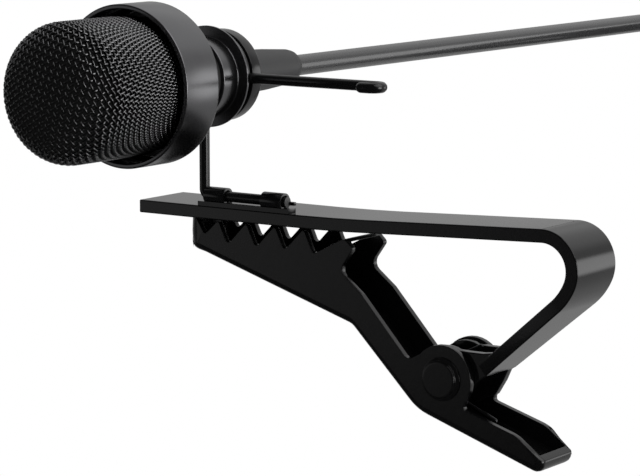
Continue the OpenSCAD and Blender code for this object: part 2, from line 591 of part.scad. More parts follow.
module cable_tie() color([0.05, 0.05, 0.05])
    translate([coil_x - tie_w / 2, 0, 0]) rotate([90, 0, 90]) linear_extrude(tie_w) difference() {
        tie_section(tie_t);
        tie_section(0);
    }

// ================================ Plug ================================

module along_plug() translate([plug_x, coil_back, coil_end_z]) mirror([0, 0, 1]) children();
handle_s = boot_len;
contact_s = handle_s + handle_len;
ring_s = contact_s + plug_sleeve_len + insulator_len;
tip_s = ring_s + plug_ring_len + insulator_len;
core_pin_r = 0.8;
module plug_boot() color([0.08, 0.08, 0.08]) along_plug() turned([
    [0, 0], [cable_r + 0.35, 0], [cable_r + 0.5, 0.3], [2.3, boot_len - 0.6], [2.3, boot_len], [0, boot_len]]);
module plug_handle() color([0.1, 0.1, 0.1]) along_plug() turned([
    [0, handle_s], [handle_r - 0.5, handle_s], [handle_r, handle_s + 0.5],
    [handle_r, contact_s - 1.5], [handle_r - 0.6, contact_s - 0.8], [handle_r - 0.6, contact_s], [0, contact_s]]);
module plug_sleeve() color([0.8, 0.75, 0.6])
    along_plug() tube_s(plug_r, core_pin_r + fit, contact_s, contact_s + plug_sleeve_len);
module plug_ring() color([0.8, 0.75, 0.6])
    along_plug() tube_s(plug_r, core_pin_r + fit, ring_s, ring_s + plug_ring_len);
module plug_tip() color([0.8, 0.75, 0.6]) along_plug() turned([
    [0, contact_s], [core_pin_r, contact_s], [core_pin_r, tip_s], [plug_r, tip_s],
    [plug_r, tip_s + 0.5], [plug_r * 0.72, tip_s + 1.2], [plug_r * 0.97, tip_s + 2],
    [plug_r * 0.85, tip_s + 2.7], [plug_r * 0.45, tip_s + plug_tip_len - 0.15],
    [plug_r * 0.2, tip_s + plug_tip_len], [0, tip_s + plug_tip_len]]);
module plug_insulators() color([0.05, 0.05, 0.05]) along_plug()
    for (s = [ring_s - insulator_len, tip_s - insulator_len])
        tube_s(plug_r - 0.02, core_pin_r + fit, s, s + insulator_len);

spring_strip();
toothed_jaw();
pivot_pin();
torsion_spring();
wire_bracket();
wire_holder();
grille_dome();
foam_liner();
collar_ring();
capsule_housing();
capsule();
capsule_gasket();
circuit_board();
neck_seal();
neck_barrel();
rear_cap();
strain_relief();
crimp_ferrule();
inner_wires();
cable_inner();
cable_lead();
cable_coil();
cable_tie();
plug_boot();
plug_handle();
plug_sleeve();
plug_ring();
plug_tip();
plug_insulators();
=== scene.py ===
"""Surfaces and materials of a lavalier microphone on a lapel clip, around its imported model."""

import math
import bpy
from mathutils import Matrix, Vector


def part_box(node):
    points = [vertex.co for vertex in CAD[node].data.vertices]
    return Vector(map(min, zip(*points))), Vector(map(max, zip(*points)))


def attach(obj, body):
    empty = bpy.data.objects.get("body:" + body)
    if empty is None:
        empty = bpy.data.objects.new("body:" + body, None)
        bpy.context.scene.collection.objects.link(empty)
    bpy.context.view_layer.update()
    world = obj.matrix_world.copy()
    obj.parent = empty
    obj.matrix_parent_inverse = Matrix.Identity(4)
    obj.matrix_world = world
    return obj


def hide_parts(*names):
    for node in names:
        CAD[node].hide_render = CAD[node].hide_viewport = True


bl_info = {
    "name": "Lavalier Microphone",
    "version": (1, 0, 0),
    "blender": (4, 5, 0),
    "location": "View3D > Sidebar > Microphone",
    "description": "Builds the visible pieces of a lavalier microphone on a toothed lapel clip",
    "category": "Object",
}

import bmesh
import bpy
from bpy.props import FloatProperty, FloatVectorProperty, IntProperty, PointerProperty
from mathutils import Matrix, Vector

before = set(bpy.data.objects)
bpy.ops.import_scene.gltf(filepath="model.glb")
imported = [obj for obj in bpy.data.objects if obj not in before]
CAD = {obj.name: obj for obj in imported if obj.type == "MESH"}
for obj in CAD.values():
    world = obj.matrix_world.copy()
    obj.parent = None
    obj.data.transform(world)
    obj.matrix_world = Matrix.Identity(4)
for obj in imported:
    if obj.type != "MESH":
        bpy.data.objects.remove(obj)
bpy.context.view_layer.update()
MM = 0.001

# ---------------------------------------------------------------- sizes, in millimetres


def in_mm(node):
    """Lowest and highest corner of a CAD node, in millimetres."""
    low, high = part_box(node)
    return low / MM, high / MM


COLLAR_LOW, COLLAR_HIGH = in_mm("collar_ring")
MIC_X = (COLLAR_LOW.x + COLLAR_HIGH.x) / 2
MIC_Z = (COLLAR_LOW.z + COLLAR_HIGH.z) / 2
MIC_FRONT = COLLAR_LOW.y
HINGE_Y = -2.19
HINGE_Z = 1.8
PIVOT = Vector((15.5179, 0, -10.0458))

# Half sections of the turned pieces: (radius, distance behind the collar's front edge, edge rounding)
COLLAR_SECTION = [
    (5.65, 0.0, 0.08), (6.0, 0.0, 0.12), (6.0, 3.95, 0.28), (5.4, 3.95, 0.05),
    (5.4, 3.25, 0.05), (5.65, 3.0, 0.05)]
HOUSING_SECTION = [
    (4.2, 1.6, 0.05), (4.87, 1.6, 0.05), (4.87, 3.2, 0.05), (5.37, 3.2, 0.02), (5.37, 4.05, 0.12),
    (3.15, 7.5, 0.1), (2.2, 7.5, 0.02), (2.2, 9.5, 0.02), (1.3, 9.5, 0.02), (1.3, 6.3, 0.1),
    (3.0, 5.05, 0.1), (4.2, 5.05, 0.1)]
SEAL_SECTION = [(2.21, 7.51, 0.02), (2.9, 7.51, 0.12), (2.9, 8.19, 0.12), (2.21, 8.19, 0.02)]
BARREL_SECTION = [
    (2.23, 8.2, 0.02), (3.15, 8.2, 0.1), (3.0, 10.15, 0.12),
    (3.84, 10.15, 0.05), (3.84, 10.4, 0.09), (2.65, 10.4, 0.03), (2.65, 11.3, 0.03),
    (1.9, 11.3, 0.02), (1.9, 12.15, 0.02), (1.3, 12.15, 0.02), (1.3, 9.6, 0.02), (2.23, 9.6, 0.02)]
CAP_SECTION = [
    (1.93, 11.31, 0.02), (3.5, 11.31, 0.07), (3.5, 12.55, 0.24), (1.78, 12.55, 0.04),
    (1.78, 12.35, 0.02), (1.93, 12.35, 0.02)]
RELIEF_SECTION = [
    (0.87, 12.17, 0.02), (1.9, 12.17, 0.02), (1.9, 12.33, 0.02), (1.75, 12.33, 0.02),
    (1.75, 13.15, 1.0), (1.59, 17.3, 4.0), (1.38, 20.3, 0.4), (1.28, 20.75, 0.3), (1.1, 21.08, 0.12),
    (0.87, 21.2, 0.02)]


# ---------------------------------------------------------------- mesh helpers

# Points closer than this are one, in metres: in a new piece, in a copy, and in a copy that takes a new shape
MERGE, COPY_MERGE, RESHAPE_MERGE = 1e-7, 2e-7, 1e-4
# Edges shorter than this are dissolved, in metres, and faces that meet at less than this angle are one
NO_LENGTH, FLAT_ANGLE = 1e-8, math.radians(0.6)
# Corners are rounded where the sides are longer, in millimetres, and half the angle is sharper than this
SHORTEST_SIDE, BLUNTEST_HALF = 1e-6, math.radians(89)
# A rounding takes at most this share of a side, and has this many steps
SIDE_SHARE, CORNER_STEPS = 0.48, 5
# Shortest step along a wire in millimetres, and the angles of the rings that round a wire's end
SHORTEST_STEP, END_ANGLES = 1e-4, (20, 40, 58, 74, 86)
# Faces that meet at more than this are shaded as an edge, in degrees
SHARP_ANGLE, WIRE_SHARP_ANGLE = 35, 50
# Softened edges: their segments, the angle in degrees that counts as an edge, and the pull of large faces on normals
SOFT_SEGMENTS, SOFT_ANGLE, FACE_WEIGHT = 3, 30, 100


def new_object(name, data):
    """An object in the scene around its mesh, curve, lamp or camera."""
    made = bpy.data.objects.new(name, data)
    bpy.context.scene.collection.objects.link(made)
    return made


def mesh_object(name, points, faces):
    """A piece from points in millimetres and faces, with its place in its mesh."""
    mesh = bpy.data.meshes.new(name)
    mesh.from_pydata([tuple(Vector(p) * MM) for p in points], [], faces)
    mesh.update()
    return new_object(name, mesh)


def turn_outwards(piece, no_length=None):
    """Merges doubles, dissolves edges without length where one is given, and points every face outwards."""
    bm = bmesh.new()
    bm.from_mesh(piece.data)
    bmesh.ops.remove_doubles(bm, verts=bm.verts, dist=MERGE)
    if no_length:
        bmesh.ops.dissolve_degenerate(bm, edges=bm.edges, dist=no_length)
    bmesh.ops.recalc_face_normals(bm, faces=bm.faces)
    bm.to_mesh(piece.data)
    bm.free()


def smooth(piece, angle=SHARP_ANGLE):
    """Smooth shading, broken where two faces meet at more than the angle in degrees."""
    piece.data.shade_smooth()
    piece.data.set_sharp_from_angle(angle=math.radians(angle))


def eased(section):
    """A closed outline of (a, b, radius) corners with each corner rounded."""
    points = []
    count = len(section)
    for i, (a, b, radius) in enumerate(section):
        here = Vector((a, b))
        before = Vector(section[i - 1][:2]) - here
        after = Vector(section[(i + 1) % count][:2]) - here
        if radius <= 0 or before.length < SHORTEST_SIDE or after.length < SHORTEST_SIDE:
            points.append(here)
            continue
        u, v = before.normalized(), after.normalized()
        half = math.acos(max(-1.0, min(1.0, u.dot(v)))) / 2
        if half > BLUNTEST_HALF:
            points.append(here)
            continue
        reach = min(radius / math.tan(half), SIDE_SHARE * before.length, SIDE_SHARE * after.length)
        radius = reach * math.tan(half)
        centre = here + (u + v).normalized() * radius / math.sin(half)
        start, end = here + u * reach - centre, here + v * reach - centre
        sweep = start.angle_signed(end)
        for k in range(CORNER_STEPS + 1):
            points.append(centre + Matrix.Rotation(-sweep * k / CORNER_STEPS, 2) @ start)
    return points


def lathe(name, corners, origin, axis, segments):
    """A piece turned from a closed half section of (radius, distance along the axis, rounding) corners."""
    section = eased(corners)
    axis = Vector(axis).normalized()
    across = Vector((1, 0, 0)) if abs(axis.x) < 0.9 else Vector((0, 0, 1))
    side = axis.cross(across).normalized()
    across = side.cross(axis)
    origin = Vector(origin)
    points, count = [], len(section)
    for k in range(segments):
        a = 2 * math.pi * k / segments
        out = across * math.cos(a) + side * math.sin(a)
        points += [origin + axis * s + out * max(r, 0) for r, s in section]
    faces = []
    for k in range(segments):
        a, b = k * count, (k + 1) % segments * count
        for i in range(count):
            j = (i + 1) % count
            faces.append((a + i, a + j, b + j, b + i))
    piece = mesh_object(name, points, faces)
    turn_outwards(piece, NO_LENGTH)
    smooth(piece)
    return piece


def arc_points(centre, radius, start, end, count):
    """Points of an arc in X and Z over the wire's plane, angles in degrees."""
    return [Vector((centre[0] + radius * math.cos(math.radians(start + (end - start) * i / count)), 0,
                    centre[1] + radius * math.sin(math.radians(start + (end - start) * i / count))))
            for i in range(count + 1)]


def tube(name, path, radius, sides, round_ends=(False, False)):
    """A round wire along a path in millimetres, its ends cut flat or rounded."""
    path = [Vector(p) for p in path]
    clean = [path[0]]
    for p in path[1:]:
        if (p - clean[-1]).length > SHORTEST_STEP:
            clean.append(p)
    path = clean
    radii = [radius] * len(path)
    for end, wanted in enumerate(round_ends):
        if not wanted:
            continue
        first, second = (path[0], path[1]) if end == 0 else (path[-1], path[-2])
        away = (first - second).normalized()
        extra = [(first + away * radius * math.sin(a), radius * math.cos(a)) for a in map(math.radians, END_ANGLES)]
        if end == 0:
            path = [p for p, _ in reversed(extra)] + path
            radii = [r for _, r in reversed(extra)] + radii
        else:
            path = path + [p for p, _ in extra]
            radii = radii + [r for _, r in extra]
    tangents = [(path[min(i + 1, len(path) - 1)] - path[max(i - 1, 0)]).normalized() for i in range(len(path))]
    across = tangents[0].orthogonal().normalized()
    points = []
    for p, t, r in zip(path, tangents, radii):
        across = (across - t * across.dot(t)).normalized()
        side = t.cross(across)
        points += [p + r * (across * math.cos(2 * math.pi * k / sides) + side * math.sin(2 * math.pi * k / sides))
                   for k in range(sides)]
    faces = [(i * sides + k, i * sides + (k + 1) % sides, (i + 1) * sides + (k + 1) % sides, (i + 1) * sides + k)
             for i in range(len(path) - 1) for k in range(sides)]
    faces += [tuple(range(sides - 1, -1, -1)), tuple((len(path) - 1) * sides + k for k in range(sides))]
    piece = mesh_object(name, points, faces)
    turn_outwards(piece)
    smooth(piece, WIRE_SHARP_ANGLE)
    return piece


def merge_flat(bm, distance):
    """Joins points closer than the distance, and faces that lie flat beside each other."""
    bmesh.ops.remove_doubles(bm, verts=bm.verts, dist=distance)
    bmesh.ops.dissolve_limit(bm, angle_limit=FLAT_ANGLE, verts=bm.verts, edges=bm.edges)


def softened_copy(name, node, width, reshape=None, clamp=True):
    """A copy of a CAD node's mesh, merged and reshaped, its sharp edges rounded by width in millimetres."""
    piece = new_object(name, CAD[node].data.copy())
    piece.data.materials.clear()
    bm = bmesh.new()
    bm.from_mesh(piece.data)
    merge_flat(bm, COPY_MERGE)
    if reshape:
        merge_flat(bm, RESHAPE_MERGE)
        reshape(bm)
    bm.to_mesh(piece.data)
    bm.free()
    piece.data.shade_smooth()
    edge = piece.modifiers.new("Soft edges", "BEVEL")
    edge.width, edge.segments = width * MM, SOFT_SEGMENTS
    edge.limit_method, edge.angle_limit = "ANGLE", math.radians(SOFT_ANGLE)
    edge.miter_outer = "MITER_ARC"
    edge.use_clamp_overlap = clamp
    return evenly_shaded(piece)


def evenly_shaded(piece):
    """The piece as a mesh whose large faces keep their own normals."""
    even = piece.modifiers.new("Even shading", "WEIGHTED_NORMAL")
    even.mode, even.weight = "FACE_AREA", FACE_WEIGHT
    return as_mesh(piece)


def as_mesh(piece):
    """The piece with its modifiers turned into plain mesh."""
    graph = bpy.context.evaluated_depsgraph_get()
    made = bpy.data.meshes.new_from_object(piece.evaluated_get(graph), preserve_all_data_layers=True, depsgraph=graph)
    if piece.type == "MESH":
        piece.modifiers.clear()
        piece.data = made
        return piece
    name = piece.name
    bpy.data.objects.remove(piece)
    return new_object(name, made)


def paint(piece, finish):
    """Gives a piece or a CAD node its finish."""
    piece.data.materials.clear()
    piece.data.materials.append(finish_of(finish))
    return piece


def place(piece, body, finish, nodes=()):
    """Gives a piece its finish, hangs it on the frame of the body that carries it, and hides the CAD nodes that it
    stands for.
    """
    paint(piece, finish)
    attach(piece, body)
    if nodes:
        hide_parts(*nodes)
    return piece


# ---------------------------------------------------------------- node helpers

# Noise: the broad one's scale as a share of the fine one's, the detail of both, and the fine one's roughness
BROAD_SCALE, FINE_DETAIL, BROAD_DETAIL, FINE_ROUGHNESS = 0.06, 3.0, 2.0, 0.6
# How much of each goes into the grain, and the mean that is taken off again
FINE_WEIGHT, BROAD_WEIGHT, GRAIN_MEAN = 0.6, 0.8, 0.7
# Roughness of the clear coat on the finishes that have one
COAT_ROUGHNESS = 0.1


def add(tree, kind, inputs=None, **settings):
    """A node with its settings and inputs; an input that is a socket is linked."""
    made = tree.nodes.new(kind)
    for key, value in settings.items():
        setattr(made, key, value)
    for key, value in (inputs or {}).items():
        if isinstance(value, bpy.types.NodeSocket):
            tree.links.new(value, made.inputs[key])
        else:
            made.inputs[key].default_value = value
    return made


def maths(tree, operation, a, b=0.0, c=0.0):
    """One Math node; returns its output."""
    return add(tree, "ShaderNodeMath", {0: a, 1: b, 2: c}, operation=operation).outputs[0]


def group_sockets(tree, inputs, outputs):
    """Named sockets of a node group: {name: (type, default, low, high)} and {name: type}."""
    for name, (kind, default, *limits) in inputs.items():
        socket = tree.interface.new_socket(name=name, in_out="INPUT", socket_type=kind)
        if default is not None:
            socket.default_value = default
        if limits:
            socket.min_value, socket.max_value = limits
    for name, kind in outputs.items():
        tree.interface.new_socket(name=name, in_out="OUTPUT", socket_type=kind)
    return tree.nodes.new("NodeGroupInput"), tree.nodes.new("NodeGroupOutput")


def grain_group():
    """Fine surface grain: a roughness that varies, a tint and a bump."""
    if "Fine grain" in bpy.data.node_groups:
        return bpy.data.node_groups["Fine grain"]
    tree = bpy.data.node_groups.new("Fine grain", "ShaderNodeTree")
    start, end = group_sockets(tree, {
        "Color": ("NodeSocketColor", (0.1, 0.1, 0.1, 1)),
        "Roughness": ("NodeSocketFloat", 0.4, 0, 1),
        "Grain per metre": ("NodeSocketFloat", 4000.0, 1, 100000),
        "Roughness change": ("NodeSocketFloat", 0.06, 0, 1),
        "Tint change": ("NodeSocketFloat", 0.1, 0, 1),
        "Bump depth": ("NodeSocketFloat", 0.00001, 0, 0.001),
    }, {"Color": "NodeSocketColor", "Roughness": "NodeSocketFloat", "Normal": "NodeSocketVector"})
    place_at = add(tree, "ShaderNodeTexCoord").outputs["Object"]
    fine = add(tree, "ShaderNodeTexNoise", {"Vector": place_at, "Scale": start.outputs["Grain per metre"],
                                            "Detail": FINE_DETAIL, "Roughness": FINE_ROUGHNESS}).outputs["Fac"]
    broad = add(tree, "ShaderNodeTexNoise", {
        "Vector": place_at, "Scale": maths(tree, "MULTIPLY", start.outputs["Grain per metre"], BROAD_SCALE),
        "Detail": BROAD_DETAIL}).outputs["Fac"]
    both = maths(tree, "MULTIPLY_ADD", fine, FINE_WEIGHT, maths(tree, "MULTIPLY", broad, BROAD_WEIGHT))
    mixed = maths(tree, "SUBTRACT", both, GRAIN_MEAN)
    rough = maths(tree, "MULTIPLY_ADD", mixed, start.outputs["Roughness change"], start.outputs["Roughness"])
    gain = maths(tree, "MULTIPLY_ADD", mixed, start.outputs["Tint change"], 1.0)
    tint = add(tree, "ShaderNodeVectorMath", {0: start.outputs["Color"], "Scale": gain}, operation="SCALE").outputs[0]
    bump = add(tree, "ShaderNodeBump", {"Height": fine, "Distance": start.outputs["Bump depth"], "Strength": 1.0})
    tree.links.new(tint, end.inputs["Color"])
    tree.links.new(rough, end.inputs["Roughness"])
    tree.links.new(bump.outputs["Normal"], end.inputs["Normal"])
    return tree


def material(name, color, roughness, metallic=0.0, coat=0.0, specular=0.5, sheen=0.0,
             grain=4000.0, rough_change=0.06, tint=0.1, depth=0.00001):
    """A finish: a Principled shader fed by the grain group."""
    made = bpy.data.materials.new(name)
    made.use_nodes = True
    made.diffuse_color = (*color, 1)
    tree = made.node_tree
    shader = tree.nodes["Principled BSDF"]
    grains = add(tree, "ShaderNodeGroup", node_tree=grain_group())
    for key, value in {"Color": (*color, 1), "Roughness": roughness, "Grain per metre": grain,
                       "Roughness change": rough_change, "Tint change": tint, "Bump depth": depth}.items():
        grains.inputs[key].default_value = value
    tree.links.new(grains.outputs["Color"], shader.inputs["Base Color"])
    tree.links.new(grains.outputs["Roughness"], shader.inputs["Roughness"])
    tree.links.new(grains.outputs["Normal"], shader.inputs["Normal"])
    shader.inputs["Metallic"].default_value = metallic
    shader.inputs["Coat Weight"].default_value = coat
    shader.inputs["Coat Roughness"].default_value = COAT_ROUGHNESS
    shader.inputs["Specular IOR Level"].default_value = specular
    shader.inputs["Sheen Weight"].default_value = sheen
    return made


# Finishes: the material's name, its colour or the setting that holds it, its roughness, and what is its own
FINISHES = {
    "lacquer": ("Black lacquer", "lacquer", 0.12,
                {"grain": 2500, "rough_change": 0.05, "tint": 0.2, "depth": 0.000002}),
    "jaw_lacquer": ("Black jaw lacquer", "lacquer", 0.2,
                    {"grain": 1800, "rough_change": 0.06, "tint": 0.2, "depth": 0.000004}),
    "wire": ("Black wire coating", "lacquer", 0.2,
             {"grain": 3000, "rough_change": 0.06, "tint": 0.2, "depth": 0.000002}),
    "anodised": ("Satin anodising", "anodised", 0.25,
                 {"metallic": 1.0, "grain": 9000, "rough_change": 0.05, "tint": 0.08, "depth": 0.000001}),
    "mesh": ("Black mesh wire", (0.15, 0.15, 0.153), 0.12,
             {"metallic": 1.0, "grain": 9000, "rough_change": 0.06, "tint": 0.15, "depth": 0.000001}),
    "foam": ("Black foam", (0.006, 0.006, 0.006), 0.95,
             {"specular": 0.1, "grain": 3500, "rough_change": 0.05, "tint": 0.5, "depth": 0.00006}),
    "seal": ("Black seal", (0.008, 0.008, 0.008), 0.6, {"grain": 6000, "depth": 0.000006}),
    "rubber": ("Moulded rubber", "rubber", 0.5,
               {"grain": 7000, "rough_change": 0.12, "tint": 0.15, "depth": 0.00001}),
    "jacket": ("Cable jacket", "rubber", 0.28,
               {"coat": 0.5, "grain": 6000, "rough_change": 0.12, "tint": 0.15, "depth": 0.000012}),
    "spring": ("Spring steel", (0.05, 0.05, 0.052), 0.22,
               {"metallic": 1.0, "grain": 8000, "rough_change": 0.1, "tint": 0.15, "depth": 0.000004}),
    "brass": ("Brass", (0.6, 0.44, 0.2), 0.35, {"metallic": 1.0, "grain": 8000}),
    "contact": ("Plated contact", (0.72, 0.62, 0.42), 0.18,
                {"metallic": 1.0, "grain": 9000, "rough_change": 0.06, "tint": 0.05, "depth": 0.000002}),
    "insulator": ("Contact insulator", (0.01, 0.01, 0.01), 0.4, {"grain": 8000}),
    "capsule": ("Capsule can", (0.7, 0.7, 0.68), 0.3, {"metallic": 1.0, "grain": 8000}),
    "board": ("Board laminate", (0.03, 0.16, 0.06), 0.45, {"grain": 6000, "tint": 0.3}),
    "core": ("Core insulation", (0.5, 0.06, 0.04), 0.45, {"grain": 8000}),
    "strap": ("Woven strap", (0.015, 0.015, 0.016), 0.85, {"grain": 5000, "sheen": 0.3, "tint": 0.4, "depth": 0.00004}),
}
MATERIALS = {}


def finish_of(key):
    """The material of one finish, made when it is first asked for."""
    if key not in MATERIALS:
        name, color, roughness, own = FINISHES[key]
        if isinstance(color, str):
            color = tuple(getattr(bpy.context.scene.lavalier, color))
        MATERIALS[key] = material(name, color, roughness, **own)
    return MATERIALS[key]


# ---------------------------------------------------------------- settings


class LavalierSettings(bpy.types.PropertyGroup):
    """Sizes and colours that a user would change."""

    cable_diameter: FloatProperty(name="Cable diameter", description="Diameter of the cable's jacket",
                                  default=0.00165, min=0.001, max=0.003, subtype="DISTANCE", unit="LENGTH")
    mesh_pitch: FloatProperty(name="Mesh pitch",
                              description="Distance between two wires of the mesh before it is drawn",
                              default=0.000393, min=0.0003, max=0.001, subtype="DISTANCE", unit="LENGTH")
    mesh_wire: FloatProperty(name="Mesh wire", description="Diameter of the mesh's wires",
                             default=0.00016, min=0.00005, max=0.0003, subtype="DISTANCE", unit="LENGTH")
    mesh_turn: FloatProperty(name="Mesh turn", description="Direction of the mesh's wires about the microphone's axis",
                             default=math.radians(28.8), subtype="ANGLE", unit="ROTATION")
    mesh_steps: IntProperty(name="Mesh steps", description="Points of a mesh wire between two crossings",
                            default=4, min=2, max=6)
    lacquer: FloatVectorProperty(name="Lacquer", description="Colour of the clip and the wire", subtype="COLOR",
                                 size=3, default=(0.0025, 0.0025, 0.0027), min=0, max=1)
    anodised: FloatVectorProperty(name="Anodising", description="Colour of the microphone's metal", subtype="COLOR",
                                  size=3, default=(0.16, 0.16, 0.165), min=0, max=1)
    rubber: FloatVectorProperty(name="Rubber", description="Colour of the cable and its sleeve", subtype="COLOR",
                                size=3, default=(0.034, 0.034, 0.035), min=0, max=1)
    edge_radius: FloatProperty(name="Edge radius", description="Rounding of the clip's sheet edges",
                               default=0.0001, min=0.00002, max=0.0003, subtype="DISTANCE", unit="LENGTH")


# ---------------------------------------------------------------- stage

CAMERA_PLACE = Vector((0.12145, -0.16913, 0.02998))
CAMERA_AZIMUTH, CAMERA_ELEVATION = math.radians(34.97), math.radians(8.55)
CAMERA_LENS, CAMERA_SENSOR, CAMERA_NEAR, CAMERA_FAR = 156.04, 36, 0.005, 10
FLOOR_Z, FLOOR_REACH, FLOOR_COLOR, FLOOR_ROUGHNESS = -0.12, 0.4, (0.9, 0.9, 0.9, 1), 0.9
FLOOR_FRONT, FLOOR_BACK, FRONT_FLOOR_GLOW, BACK_FLOOR_GLOW = 0.04, 0.14, 0.03, 0.45
WHITE, WORLD_LIGHT = (1, 1, 1, 1), 0.55
# What glossy faces mirror: its direction, the cosines to it over which it rises, and its glow away from and in it
BACKDROP = ((-0.1, 1.0, 0.0), -0.25, 0.35, 0.03, 0.45)
SOFTBOX = ((0.57, 0.81, -0.02), 0.965, 0.99, 0.0, 1.4)
OVERHEAD = ((0.0, 0.6, 0.8), 0.75, 0.9, 0.0, 0.25)
CARD = ((-0.75, -0.65, -0.13), 0.93, 0.985, 0.0, 0.3)
# Lamps: name, place, side and power
LAMPS = (("Key", (0.45, 0.05, 0.5), 0.6, 1.6), ("Side", (0.62, 0.02, 0.02), 0.28, 1.1))
LAMP_AIM = (0.005, -0.004, 0.0)


def area_lamp(name, where, aim, size, power):
    """A square lamp that faces its aim and isn't seen itself."""
    lamp = bpy.data.lights.new(name, "AREA")
    lamp.shape = "SQUARE"
    lamp.size = size
    lamp.energy = power
    made = new_object(name, lamp)
    made.location = where
    made.rotation_euler = (Vector(aim) - Vector(where)).to_track_quat("-Z", "Y").to_euler()
    made.visible_camera = False
    return made


def studio_glow(tree):
    """How bright the studio is in each direction, as a glossy surface mirrors it."""
    away = add(tree, "ShaderNodeTexCoord").outputs["Generated"]

    def towards(direction, low, high, dim, bright):
        """A soft step from dim to bright over the cosine to a direction."""
        cosine = add(tree, "ShaderNodeVectorMath", {0: away, 1: Vector(direction).normalized()},
                     operation="DOT_PRODUCT").outputs["Value"]
        return add(tree, "ShaderNodeMapRange", {"Value": cosine, "From Min": low, "From Max": high,
                                                "To Min": dim, "To Max": bright},
                   interpolation_type="SMOOTHSTEP").outputs["Result"]

    backdrop, softbox, overhead, card = (towards(*light) for light in (BACKDROP, SOFTBOX, OVERHEAD, CARD))
    return maths(tree, "ADD", maths(tree, "ADD", backdrop, softbox), maths(tree, "ADD", overhead, card))


def by_ray(tree, seen, mirrored, lit):
    """One shader for what the camera sees, one for what glossy or clear faces show, and one for all other light."""
    path = add(tree, "ShaderNodeLightPath").outputs
    shiny = maths(tree, "MAXIMUM", path["Is Glossy Ray"], path["Is Transmission Ray"])
    mix = add(tree, "ShaderNodeMixShader", {0: shiny, 1: lit.outputs[0], 2: mirrored.outputs[0]})
    return add(tree, "ShaderNodeMixShader",
               {0: path["Is Camera Ray"], 1: mix.outputs[0], 2: seen.outputs[0]}).outputs[0]


class LAVALIER_OT_stage(bpy.types.Operator):
    """Camera, lamps, world and floor"""

    bl_idname = "lavalier.stage"
    bl_label = "Stage"

    def execute(self, context):
        scene = context.scene
        scene.view_settings.view_transform = "Standard"
        camera = bpy.data.cameras.new("Camera")
        camera.lens, camera.sensor_width = CAMERA_LENS, CAMERA_SENSOR
        camera.clip_start, camera.clip_end = CAMERA_NEAR, CAMERA_FAR
        eye = new_object("Camera", camera)
        eye.location = CAMERA_PLACE
        gaze = Vector((-math.sin(CAMERA_AZIMUTH) * math.cos(CAMERA_ELEVATION),
                       math.cos(CAMERA_AZIMUTH) * math.cos(CAMERA_ELEVATION), -math.sin(CAMERA_ELEVATION)))
        eye.rotation_euler = gaze.to_track_quat("-Z", "Y").to_euler()
        scene.camera = eye

        world = bpy.data.worlds.new("Studio")
        scene.world = world
        world.use_nodes = True
        tree = world.node_tree
        tree.nodes.clear()
        lit = add(tree, "ShaderNodeBackground", {"Color": WHITE, "Strength": WORLD_LIGHT})
        mirrored = add(tree, "ShaderNodeBackground", {"Color": WHITE, "Strength": studio_glow(tree)})
        seen = add(tree, "ShaderNodeBackground", {"Color": WHITE, "Strength": 1.0})
        add(tree, "ShaderNodeOutputWorld", {"Surface": by_ray(tree, seen, mirrored, lit)})

        reach, depth = FLOOR_REACH / MM, FLOOR_Z / MM
        floor = mesh_object("floor", [(-reach, -reach, depth), (reach, -reach, depth),
                                      (reach, reach, depth), (-reach, reach, depth)], [(0, 1, 2, 3)])
        pale = bpy.data.materials.new("Pale floor")
        pale.use_nodes = True
        tree = pale.node_tree
        base = tree.nodes["Principled BSDF"]
        base.inputs["Base Color"].default_value = FLOOR_COLOR
        base.inputs["Roughness"].default_value = FLOOR_ROUGHNESS
        seen = add(tree, "ShaderNodeEmission", {"Color": WHITE, "Strength": 1.0})
        # Polished faces mirror a floor that is dim in front and bright behind
        spot = add(tree, "ShaderNodeSeparateXYZ", {0: add(tree, "ShaderNodeTexCoord").outputs["Object"]})
        shine = add(tree, "ShaderNodeMapRange", {
            "Value": spot.outputs["Y"], "From Min": FLOOR_FRONT, "From Max": FLOOR_BACK,
            "To Min": FRONT_FLOOR_GLOW, "To Max": BACK_FLOOR_GLOW}, interpolation_type="SMOOTHSTEP")
        mirrored = add(tree, "ShaderNodeEmission", {"Color": WHITE, "Strength": shine.outputs["Result"]})
        tree.links.new(by_ray(tree, seen, mirrored, base), tree.nodes["Material Output"].inputs["Surface"])
        floor.data.materials.append(pale)

        for name, where, size, power in LAMPS:
            area_lamp(name, where, LAMP_AIM, size, power)
        return {"FINISHED"}


# ---------------------------------------------------------------- cable and plug

CABLE_R = 0.825
LEAD_START = 8.16
COIL_X, COIL_Y, COIL_R = 9.0, 74.0, 14.6
COIL_Z = MIC_Z - COIL_R
COIL_PITCH, COIL_TURNS, COIL_LAYERS = 2.1, 18.25, 4
LAYER_TURNS = COIL_TURNS / COIL_LAYERS
COIL_IN_R = COIL_R - COIL_PITCH * LAYER_TURNS
COIL_BACK = COIL_Y + (COIL_LAYERS - 1) * COIL_PITCH
TURN_R = 7.0
PLUG_TOP = Vector((COIL_X + COIL_R, COIL_BACK, COIL_Z - 2 * CABLE_R))
# The turns over which the cable climbs a layer, and the straight stretch before the coil
CLIMB_TURNS, RUN_UP = 0.5, 3
LEAD_STEPS, BEND_STEPS, TURN_STEPS, CABLE_ROUNDNESS, PLUG_SIDES = 16, 12, 48, 6, 64
STRAP_EDGE = 0.12


def coil_point(t):
    """The cable's centre after t turns: it spirals in and out, and climbs a layer at each reversal."""
    layer = min(int(t / LAYER_TURNS), COIL_LAYERS - 1)
    part = t - layer * LAYER_TURNS
    radius = COIL_R - COIL_PITCH * part if layer % 2 == 0 else COIL_IN_R + COIL_PITCH * part
    climb = 0.0
    for k in range(1, COIL_LAYERS):
        x = min(max((t - k * LAYER_TURNS) / CLIMB_TURNS + 0.5, 0.0), 1.0)
        climb += x * x * (3 - 2 * x)
    a = math.radians(90) - 2 * math.pi * t
    return (COIL_X + radius * math.cos(a), COIL_Y + COIL_PITCH * climb, COIL_Z + radius * math.sin(a))


